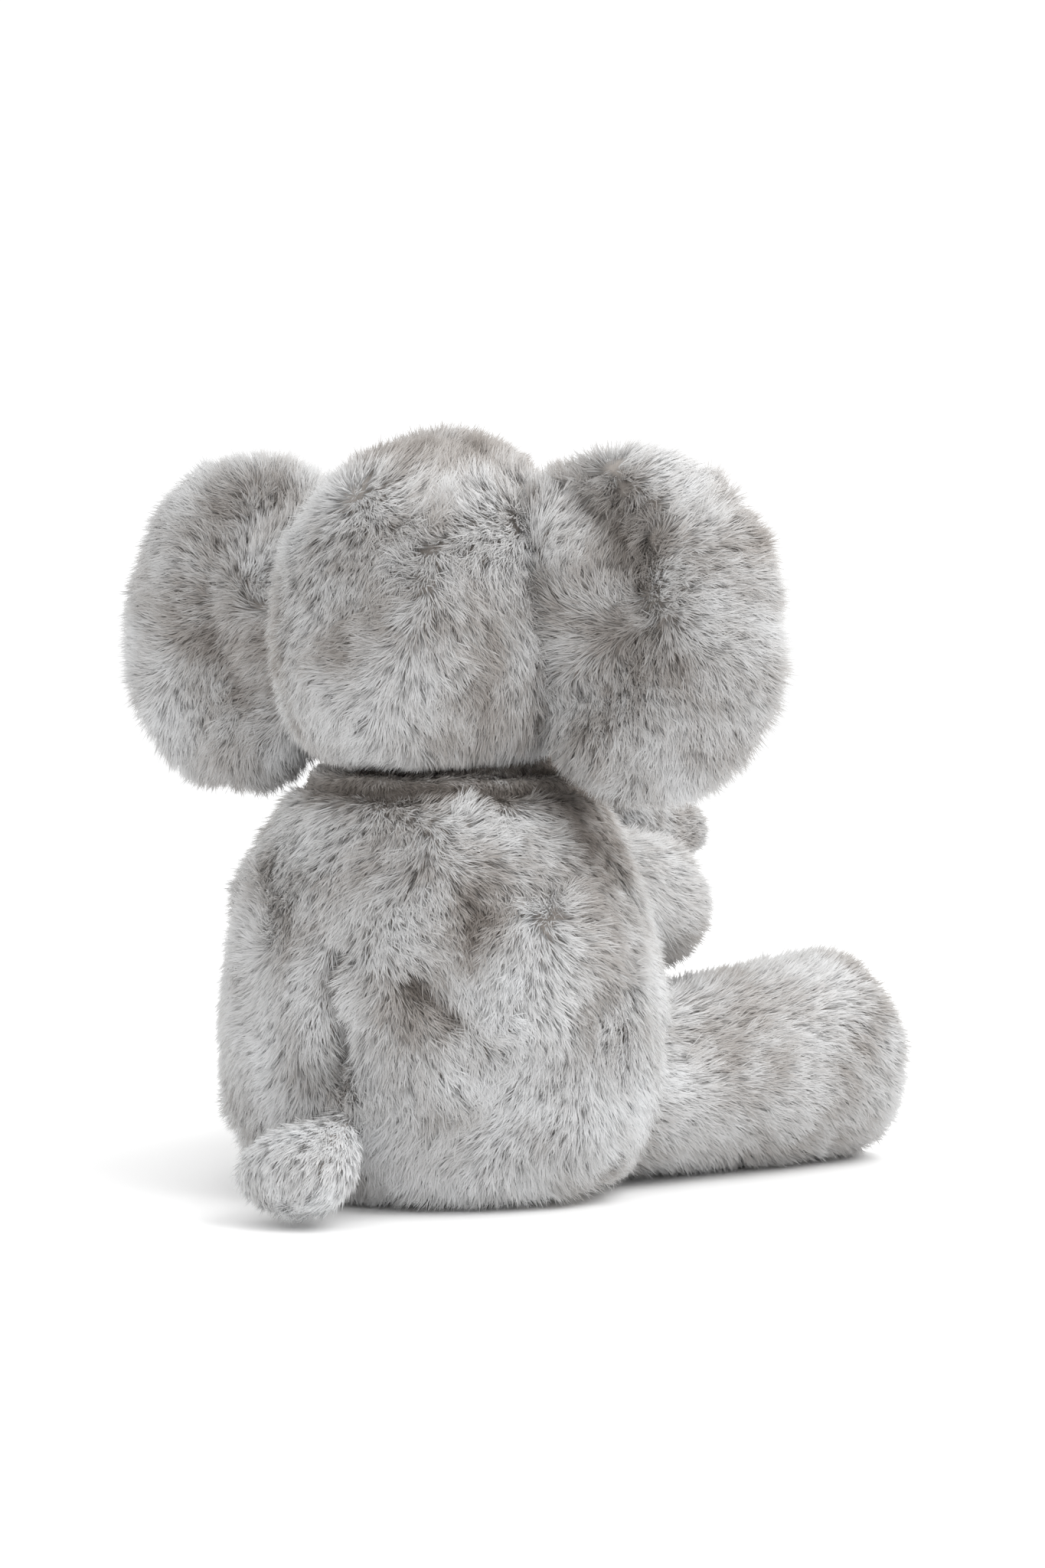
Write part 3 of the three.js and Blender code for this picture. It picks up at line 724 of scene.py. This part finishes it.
# the Geometry Nodes tree that plants strands on one panel of a skin
def pileTree():
    tree = bpy.data.node_groups.new("pileTree", "GeometryNodeTree")
    face = tree.interface
    face.new_socket(name="Geometry", in_out="INPUT", socket_type="NodeSocketGeometry")
    for name, kind, value in pileInputs:
        socket = face.new_socket(name=name, in_out="INPUT", socket_type="NodeSocket" + kind)
        if value is not None:
            socket.default_value = value
    face.new_socket(name="Geometry", in_out="OUTPUT", socket_type="NodeSocketGeometry")
    n, link = tree.nodes, tree.links.new
    given, result = n.new("NodeGroupInput"), n.new("NodeGroupOutput")

    def named(name, kind):
        node = n.new("GeometryNodeInputNamedAttribute")
        node.data_type = kind
        node.inputs["Name"].default_value = name
        return node.outputs["Attribute"]

    def vector(operation, a, b=None, scale=None):
        node = n.new("ShaderNodeVectorMath")
        node.operation = operation
        for at, value in ((0, a), (1, b)):
            if isinstance(value, tuple):
                node.inputs[at].default_value = value
            elif value is not None:
                link(value, node.inputs[at])
        if scale is not None:
            link(scale, node.inputs["Scale"])
        return node.outputs[0]

    def number(operation, a, b):
        node = n.new("ShaderNodeMath")
        node.operation = operation
        for at, value in ((0, a), (1, b)):
            if isinstance(value, (int, float)):
                node.inputs[at].default_value = value
            else:
                link(value, node.inputs[at])
        return node.outputs[0]

    def randomly(kind, low, high, salt):
        node = n.new("FunctionNodeRandomValue")
        node.data_type = kind
        at = 0 if kind == "FLOAT_VECTOR" else 2
        node.inputs[at].default_value = low
        node.inputs[at + 1].default_value = high
        link(number("ADD", given.outputs["Seed"], salt), node.inputs["Seed"])
        return node.outputs[0] if kind == "FLOAT_VECTOR" else node.outputs[1]

    def stored(name, kind, domain, geometry, value):
        node = n.new("GeometryNodeStoreNamedAttribute")
        node.data_type = kind
        node.domain = domain
        node.inputs["Name"].default_value = name
        link(geometry, node.inputs["Geometry"])
        link(value, node.inputs["Value"])
        return node.outputs[0]

    onPanel = n.new("FunctionNodeCompare")
    onPanel.data_type = "INT"
    onPanel.operation = "EQUAL"
    link(named("panel", "INT"), onPanel.inputs[2])
    link(given.outputs["Panel"], onPanel.inputs[3])
    planted = n.new("GeometryNodeDistributePointsOnFaces")
    link(given.outputs["Geometry"], planted.inputs["Mesh"])
    link(onPanel.outputs[0], planted.inputs["Selection"])
    link(given.outputs["Density"], planted.inputs["Density"])
    link(given.outputs["Seed"], planted.inputs["Seed"])
    # each strand points out of the cloth, over the way the pile lies, and towards its tuft
    place = n.new("GeometryNodeInputPosition").outputs[0]
    tuft = n.new("ShaderNodeTexVoronoi")
    tuft.inputs["Scale"].default_value = 1
    inverse = number("DIVIDE", 1.0, given.outputs["Clump Size"])
    link(vector("SCALE", place, scale=inverse), tuft.inputs["Vector"])
    towards = vector("SUBTRACT", tuft.outputs["Position"], vector("SCALE", place, scale=inverse))
    upright = number("SUBTRACT", 1.0, given.outputs["Lean"])
    lie = named("lie", "FLOAT_VECTOR")
    aim = vector("ADD", vector("SCALE", planted.outputs["Normal"], scale=upright),
                 vector("SCALE", lie, scale=given.outputs["Lean"]))
    aim = vector("ADD", aim, vector("SCALE", towards, scale=given.outputs["Clump"]))
    stray = vector("SCALE", randomly("FLOAT_VECTOR", (-1, -1, -1), (1, 1, 1), 3), scale=given.outputs["Stray"])
    aim = vector("ADD", aim, stray)
    aim = vector("NORMALIZE", aim)
    soft = vector("ADD", vector("SCALE", planted.outputs["Normal"], scale=given.outputs["Softness"]), aim)
    stand = n.new("FunctionNodeAlignRotationToVector")
    stand.axis = "Z"
    link(aim, stand.inputs["Vector"])
    bend = n.new("FunctionNodeAlignRotationToVector")
    bend.axis = "X"
    bend.pivot_axis = "Z"
    link(stand.outputs[0], bend.inputs["Rotation"])
    link(lie, bend.inputs["Vector"])
    roll = n.new("FunctionNodeRotateRotation")
    roll.rotation_space = "LOCAL"
    link(bend.outputs[0], roll.inputs["Rotation"])
    turn = n.new("ShaderNodeCombineXYZ")
    link(randomly("FLOAT", -0.9, 0.9, 5), turn.inputs["Z"])
    toTurn = n.new("FunctionNodeEulerToRotation")
    link(turn.outputs[0], toTurn.inputs[0])
    link(toTurn.outputs[0], roll.inputs["Rotate By"])
    long = number("MULTIPLY", given.outputs["Length"], named("pile", "FLOAT"))
    long = number("MULTIPLY", long, randomly("FLOAT", 0.82, 1.08, 7))
    size = n.new("ShaderNodeCombineXYZ")
    link(long, size.inputs["X"])
    link(number("MULTIPLY", given.outputs["Width"], randomly("FLOAT", 0.7, 1.25, 9)), size.inputs["Y"])
    link(long, size.inputs["Z"])
    # the strand's own tone: the skin's tone where it stands, which holds its patch and the painted shade, its tuft
    # and a little of its own
    ownTone = number("ADD", named("tone", "FLOAT"), randomly("FLOAT", -0.10, 0.10, 11))
    tuftTone = number("MULTIPLY", number("SUBTRACT", tuft.outputs["Color"], 0.5), 0.12)
    wholeTone = number("ADD", ownTone, tuftTone)
    points = stored("strandTone", "FLOAT", "POINT", planted.outputs["Points"], wholeTone)
    points = stored("softNormal", "FLOAT_VECTOR", "POINT", points, vector("NORMALIZE", soft))
    source = n.new("GeometryNodeObjectInfo")
    link(given.outputs["Strand"], source.inputs["Object"])
    strands = n.new("GeometryNodeInstanceOnPoints")
    link(points, strands.inputs["Points"])
    link(source.outputs["Geometry"], strands.inputs["Instance"])
    link(roll.outputs[0], strands.inputs["Rotation"])
    link(size.outputs[0], strands.inputs["Scale"])
    real = n.new("GeometryNodeRealizeInstances")
    link(strands.outputs[0], real.inputs[0])
    # strands that meet the floor lie on it
    spread = n.new("ShaderNodeSeparateXYZ")
    link(place, spread.inputs[0])
    raised = n.new("ShaderNodeCombineXYZ")
    link(spread.outputs["X"], raised.inputs["X"])
    link(spread.outputs["Y"], raised.inputs["Y"])
    link(number("MAXIMUM", spread.outputs["Z"], given.outputs["Floor"]), raised.inputs["Z"])
    laid = n.new("GeometryNodeSetPosition")
    link(real.outputs[0], laid.inputs["Geometry"])
    link(raised.outputs[0], laid.inputs["Position"])
    # the map: tone across, root to tip along
    blade = n.new("ShaderNodeSeparateXYZ")
    link(named("blade", "FLOAT_VECTOR"), blade.inputs[0])
    tone = n.new("ShaderNodeClamp")
    link(named("strandTone", "FLOAT"), tone.inputs["Value"])
    tone.inputs["Min"].default_value = 0.02
    tone.inputs["Max"].default_value = 0.98
    edge = number("MULTIPLY", number("SUBTRACT", blade.outputs["X"], 0.5), 0.012)
    spot = n.new("ShaderNodeCombineXYZ")
    link(number("ADD", tone.outputs[0], edge), spot.inputs["X"])
    link(number("ADD", number("MULTIPLY", blade.outputs["Y"], 0.96), 0.02), spot.inputs["Y"])
    smooth = n.new("GeometryNodeSetShadeSmooth")
    link(stored("OFBake", "FLOAT2", "CORNER", laid.outputs[0], spot.outputs[0]), smooth.inputs["Geometry"])
    lit = n.new("GeometryNodeSetMeshNormal")  # strands shade as the soft coat that they make together
    lit.mode = "FREE"
    link(smooth.outputs[0], lit.inputs["Mesh"])
    link(named("softNormal", "FLOAT_VECTOR"), lit.inputs["Custom Normal"])
    dyed = n.new("GeometryNodeSetMaterial")
    link(lit.outputs[0], dyed.inputs["Geometry"])
    link(given.outputs["Material"], dyed.inputs["Material"])
    link(dyed.outputs[0], result.inputs[0])
    return tree


blade = strandBlade()
pileNodes = pileTree()
spareLayers = ("lie", "tone", "pile", "panel", "strandTone", "blade", "softNormal")


# drops the layers that only the planting needed
def bared(data):
    for layer in [layer.name for layer in data.attributes if layer.name in spareLayers]:
        data.attributes.remove(data.attributes[layer])


# plants the pile of one panel and returns it as a plain mesh of its own
def plantedPile(name, skin, panel, settings):
    carrier = bpy.data.objects.new(name, skin.data)
    scene.collection.objects.link(carrier)
    grow = carrier.modifiers.new("pile", "NODES")
    grow.node_group = pileNodes
    values = {"Panel": panel, "Strand": blade, **settings}
    for item in pileNodes.interface.items_tree:
        if item.in_out == "INPUT" and item.name in values:
            grow[item.identifier] = values[item.name]
    shown = carrier.evaluated_get(bpy.context.evaluated_depsgraph_get())
    data = bpy.data.meshes.new_from_object(shown)
    carrier.modifiers.clear()
    carrier.data = data
    data.name = name
    bared(data)
    print(name, len(data.polygons), "faces")
    return carrier


# marks which panel each face of a skin belongs to
def panelled(ob, choose):
    count = len(ob.data.polygons)
    flat = np.empty(count * 3, np.float32)
    ob.data.polygons.foreach_get("center", flat)
    layer = ob.data.attributes.new("panel", "INT", "FACE")
    layer.data.foreach_set("value", choose(flat.reshape(-1, 3)).astype(np.int32))


# a skin takes its cloth, rides its body and stands for its CAD panels
def sewn(skin, body, nodes):
    skin.data.materials.clear()
    skin.data.materials.append(backingCloth)
    skin.data.polygons.foreach_set("use_smooth", [True] * len(skin.data.polygons))
    bared(skin.data)
    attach(skin, body)
    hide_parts(*nodes)


# the filling just under a skin, standing for the CAD filling
def filled(skin, name, body, nodes, under=2.5 * mm):
    filling = bpy.data.objects.new(name, skin.data.copy())
    scene.collection.objects.link(filling)
    setCoords(filling, coordsOf(filling) - normalsOf(filling) * under)
    lumpy(filling, 9 * mm, 1.2 * mm, 31)
    filling.data.materials.clear()
    filling.data.materials.append(fillingFibre)
    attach(filling, body)
    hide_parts(*nodes)


longPile = {"Density": 3.1e6, "Length": 10 * mm, "Width": 0.42 * mm, "Lean": 0.5, "Clump": 0.34,
            "Clump Size": 3.2 * mm, "Stray": 0.15, "Softness": 1.4, "Material": pileGrey}
shortPile = {**longPile, "Density": 2.0e6, "Length": 5 * mm, "Lean": 0.4, "Clump": 0.2, "Material": pileLining}


# one coat of pile for each panel of a skin
def dressed(skin, body, panels):
    for i, (name, settings) in enumerate(panels):
        coat = plantedPile(name, skin, i, {**settings, "Seed": 17 * i + len(name)})
        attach(coat, body)


# the same value everywhere
def steady(value):
    return lambda coords, normals: np.full(len(coords), float(value))


# outwards from a point, and down
def awayFrom(centre, down, out):
    def flow(coords, normals):
        apart = coords - np.array(centre)
        apart /= np.maximum(np.linalg.norm(apart, axis=1, keepdims=True), 1e-6)
        return out * apart + np.array([0, 0, -down])
    return flow


# tone runs from 0, the brown foot of the pile, to 1, its palest tip; the other tones are added or taken off, and
# some of what is taken off is painted shade
torsoCoat = {
    # neck and paintedCreaseShade darken the pile: painted shadow of the head at the neck, painted shade in the
    # creases
    "tone": 0.58, "low": 0.10, "neck": 0.20, "paintedCreaseShade": 0.85, "shorter": 0.6,  # shorter in creases and partings
    "from": (0, 0, 0.125), "down": 0.7, "out": 0.3, "swirl": 0.8,
    "back": longPile, "belly": {**longPile, "Density": 2.3e6},
    "seat": {**longPile, "Density": 0.25e6, "Length": 6 * mm},
}


def makeTorso():
    ob = torsoSkin()
    coat = torsoCoat
    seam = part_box("torso_belly_panel")[1][1]
    seat = 8 * mm

    def choose(centres):
        x, y, z = centres.T
        return np.where(z < seat, 3, np.where(y < seam, 2, np.where(x > 0, 0, 1)))
    panelled(ob, choose)

    def creased(coords):
        return np.max([nearLine(coords, path, width, weights)
                       for path, width, depth, weights in torsoFolds[1:]], axis=0)

    def tone(coords, normals):
        # lighter towards the bottom; painted shadow of the head darkens it up at the neck, and painted shade
        # darkens the creases and the spots under the ears
        low = np.clip((0.09 - coords[:, 2]) / 0.08, 0, 1)
        neck = np.clip((coords[:, 2] - 0.140) / 0.015, 0, 1)
        even = coat["tone"] + coat["low"] * low - coat["neck"] * neck
        return even - coat["paintedCreaseShade"] * creased(coords) - spotted(coords, torsoSpots, 41)

    def length(coords, normals):
        neck = np.clip((coords[:, 2] - 0.146) / 0.010, 0, 1)
        partedAndShadowSpots = spotted(coords, torsoSpots, 41)
        return (1 - 0.5 * neck) * (1 - coat["shorter"] * creased(coords)) * (1 - coat["shorter"] * partedAndShadowSpots)
    groomed(ob, awayFrom(coat["from"], coat["down"], coat["out"]), tone, length, coat["swirl"], seed=1)
    dressed(ob, "torso", [("pile_back_left", coat["back"]), ("pile_back_right", coat["back"]),
                          ("pile_belly", coat["belly"]), ("pile_seat", coat["seat"])])
    filled(ob, "torso_filling", "torso", ["torso_stuffing"])
    sewn(ob, "torso", ["torso_back_left", "torso_back_right", "torso_belly_panel", "torso_seat_panel"])


headCoat = {
    "tone": 0.53, "jaw": 0.03, "crown": 0.32, "fold": 0.08, "faceShorter": 0.4, "underShorter": 0.45,
    "from": (0, 0, 0.235), "down": 0.6, "out": 0.5, "forwards": 1.1, "swirl": 0.6, "gussetHalf": 0.015,
}


def makeHead():
    ob = headSkin()
    coat = headCoat

    def choose(centres):
        x, y, z = centres.T
        return np.where(abs(x) < coat["gussetHalf"], 2, np.where(x > 0, 0, 1))
    panelled(ob, choose)

    def tone(coords, normals):
        jaw = np.clip((0.20 - coords[:, 2]) / 0.04, 0, 1)
        crown = np.clip((coords[:, 2] - 0.262) / 0.01, 0, 1)
        fold = nearLine(coords, crownFold, 6 * mm)
        # painted shade: the top of the crown and the fold across it are painted darker
        even = coat["tone"] + coat["jaw"] * jaw - coat["crown"] * crown - coat["fold"] * fold
        return even - spotted(coords, headSpots, 43)

    def length(coords, normals):
        x, y, z = coords.T
        face = np.clip((-y - 0.01) / 0.03, 0, 1)
        under = np.clip((0.172 - z) / 0.008, 0, 1)
        return (1 - coat["faceShorter"] * face) * (1 - coat["underShorter"] * under)
    outwards = awayFrom(coat["from"], coat["down"], coat["out"])

    def flow(coords, normals):
        # over the crown the pile lies towards the face
        crown = np.clip((coords[:, 2:] - 0.250) / 0.02, 0, 1)
        return outwards(coords, normals) * (1 - crown) + np.array([0, -coat["forwards"], 0]) * crown
    groomed(ob, flow, tone, length, coat["swirl"], seed=2)
    dressed(ob, "head", [("pile_head_left", longPile), ("pile_head_right", longPile),
                         ("pile_gusset", longPile)])
    filled(ob, "head_filling", "head", ["head_stuffing"])
    sewn(ob, "head", ["head_side_left", "head_side_right", "head_gusset", "head_chin_panel"])


earCoat = {
    "tone": 0.56, "paintedSideLight": 0.03, "rim": 0.02, "hollow": 0.28, "hollowShorter": 0.3,
    "down": 0.3, "out": 0.8, "rimFrom": 0.034, "forwards": 0.6, "swirl": 0.8,
}


def makeEar(name, side):
    ob = earSkin(name, side)
    coat = earCoat
    body = f"ear_{name}"
    pivot = jointPivot(f"ear_{name}_swing")
    panelled(ob, lambda centres: np.where(centres[:, 1] > pivot[1] - 4 * mm, 0, 1))
    hub = (pivot[0] + side * 0.015, pivot[1], pivot[2] + 0.01)
    hollow = earHollow(name, side)

    def tone(coords, normals):
        rim = np.clip(side * (coords[:, 0] - pivot[0]) / 0.09, 0, 1) ** 3
        # painted light and shade: the left ear, on the shaded side, is painted paler and the right one darker;
        # painted shade darkens the hollow, and the outer rim is a little darker
        even = coat["tone"] + coat["paintedSideLight"] * side - coat["rim"] * rim
        return even - coat["hollow"] * nearLine(coords, hollow, 15 * mm)

    def length(coords, normals):
        return 1 - coat["hollowShorter"] * nearLine(coords, hollow, 12 * mm)
    outwards = awayFrom(hub, coat["down"], coat["out"])

    def flow(coords, normals):
        apart = np.linalg.norm((coords - np.array(hub))[:, [0, 2]], axis=1)[:, None]
        rim = np.clip((apart - coat["rimFrom"]) / 0.012, 0, 1)  # round the rim the pile lies forwards
        return outwards(coords, normals) - np.array([0, coat["forwards"], 0]) * rim
    groomed(ob, flow, tone, length, coat["swirl"], seed=4 + side)
    dressed(ob, body, [(f"pile_ear_{name}", longPile), (f"pile_ear_{name}_lining", shortPile)])
    filled(ob, f"ear_{name}_filling", body, [f"ear_{name}_wadding"])
    sewn(ob, body, [f"ear_{name}_back", f"ear_{name}_lining"])


# along a limb, and down
def alongAim(aim, down):
    return lambda coords, normals: np.array(aim) + np.array([0, 0, -down])


armCoat = {"tone": 0.48, "aim": (0.2, -0.8, 0), "down": 0.9, "swirl": 0.5, "pad": 0.0125}


def makeArm(name, side):
    ob = armSkin(name, side)
    coat = armCoat
    body = f"arm_{name}"
    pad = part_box(f"arm_{name}_paw_pad")
    front = pad[0][1] + 9 * mm
    middle = (np.array(pad[0]) + np.array(pad[1])) / 2

    def choose(centres):
        apart = np.linalg.norm(centres[:, [0, 2]] - middle[[0, 2]], axis=1)
        return np.where((centres[:, 1] < front) & (apart < coat["pad"]), 1, 0)
    panelled(ob, choose)
    x, y, z = coat["aim"]
    groomed(ob, alongAim((side * x, y, z), coat["down"]), steady(coat["tone"]), steady(1),
            coat["swirl"], seed=7 + side)
    dressed(ob, body, [(f"pile_arm_{name}", longPile), (f"pile_paw_{name}", shortPile)])
    filled(ob, f"arm_{name}_filling", body, [f"arm_{name}_stuffing"])
    sewn(ob, body, [f"arm_{name}_fur", f"arm_{name}_paw_pad"])


legCoat = {"tone": 0.52, "down": 0.6, "swirl": 0.45, "sole": 0.0255, "pile": {**longPile, "Density": 2.6e6}}


def makeLeg(name, side):
    ob = legSkin(name, side)
    coat = legCoat
    body = f"leg_{name}"
    aim = legAim(side)
    tip = jointPivot(f"leg_{name}_spread") + aim * (legForm["length"] - pileFoot)

    def choose(centres):
        ahead = (centres - tip) @ aim
        apart = np.linalg.norm(centres - tip - ahead[:, None] * aim, axis=1)
        return np.where((ahead > -4 * mm) & (apart < coat["sole"]), 1, 0)
    panelled(ob, choose)
    groomed(ob, alongAim(aim, coat["down"]), steady(coat["tone"]), steady(1),
            coat["swirl"], seed=12 + side)
    dressed(ob, body, [(f"pile_leg_{name}", coat["pile"]), (f"pile_sole_{name}", shortPile)])
    filled(ob, f"leg_{name}_filling", body, [f"leg_{name}_stuffing"])
    sewn(ob, body, [f"leg_{name}_fur", f"leg_{name}_sole"])


trunkCoat = {"tone": 0.5, "length": 0.7, "swirl": 0.4, "underHalf": 0.008, "pile": {**longPile, "Lean": 0.68}}


def makeTrunk():
    ob = trunkSkin()
    coat = trunkCoat
    line = trunkLine()
    ahead = np.gradient(line, axis=0) * 250  # about one long at each step

    def nearest(coords):
        return np.argmin(np.linalg.norm(coords[:, None] - line[None], axis=2), axis=1)

    def choose(centres):
        under = centres[:, 2] < line[nearest(centres)][:, 2]
        return np.where(under & (abs(centres[:, 0]) < coat["underHalf"]), 1, 0)
    panelled(ob, choose)
    groomed(ob, lambda coords, normals: ahead[nearest(coords)], steady(coat["tone"]), steady(coat["length"]),
            coat["swirl"], seed=20)
    dressed(ob, "trunk", [("pile_trunk", coat["pile"]), ("pile_trunk_under", shortPile)])
    filled(ob, "trunk_filling", "trunk", ["trunk_stuffing"])
    sewn(ob, "trunk", ["trunk_upper_panel", "trunk_under_panel"])


tailCoat = {"tone": 0.78, "length": 0.85, "down": 0.5, "swirl": 0.2, "pile": {**longPile, "Lean": 0.75}}


def makeTail():
    ob = tailSkin()
    coat = tailCoat
    panelled(ob, lambda centres: np.zeros(len(centres)))
    groomed(ob, alongAim(tailForm["aim"], coat["down"]), steady(coat["tone"]), steady(coat["length"]),
            coat["swirl"], seed=23)
    dressed(ob, "tail", [("pile_tail", coat["pile"])])
    filled(ob, "tail_filling", "tail", ["tail_stuffing"])
    sewn(ob, "tail", ["tail_fur"])


# hard pieces and hidden ones keep their CAD shape and take their own finish
hiddenFinish = {
    "eye_plastic": cloudyMaterial("eyeGloss", (0.012, 0.010, 0.010), 0.08, 150, 0.12)[0],
    "washer_plastic": cloudyMaterial("washerPlastic", (0.78, 0.77, 0.74), 0.5, 150, 0.12)[0],
    "pellet_cloth": pelletWeave, "fibrefill": fillingFibre, "label_tape": labelSatin,
}


def finishHidden():
    slots = {part["node"]: part["material_slot"] for part in frame["record"]["subparts"]}
    for name, ob in frame["nodes"].items():
        if slots[name] in hiddenFinish:
            ob.data.materials.clear()
            ob.data.materials.append(hiddenFinish[slots[name]])


makeTorso()
print("torso dressed")
makeHead()
print("head dressed")
for name, side in sides:
    makeEar(name, side)
    makeArm(name, side)
    makeLeg(name, side)
    print(name, "ear, arm and leg dressed")
makeTrunk()
makeTail()
print("trunk and tail dressed")
finishHidden()
bpy.data.objects.remove(blade)
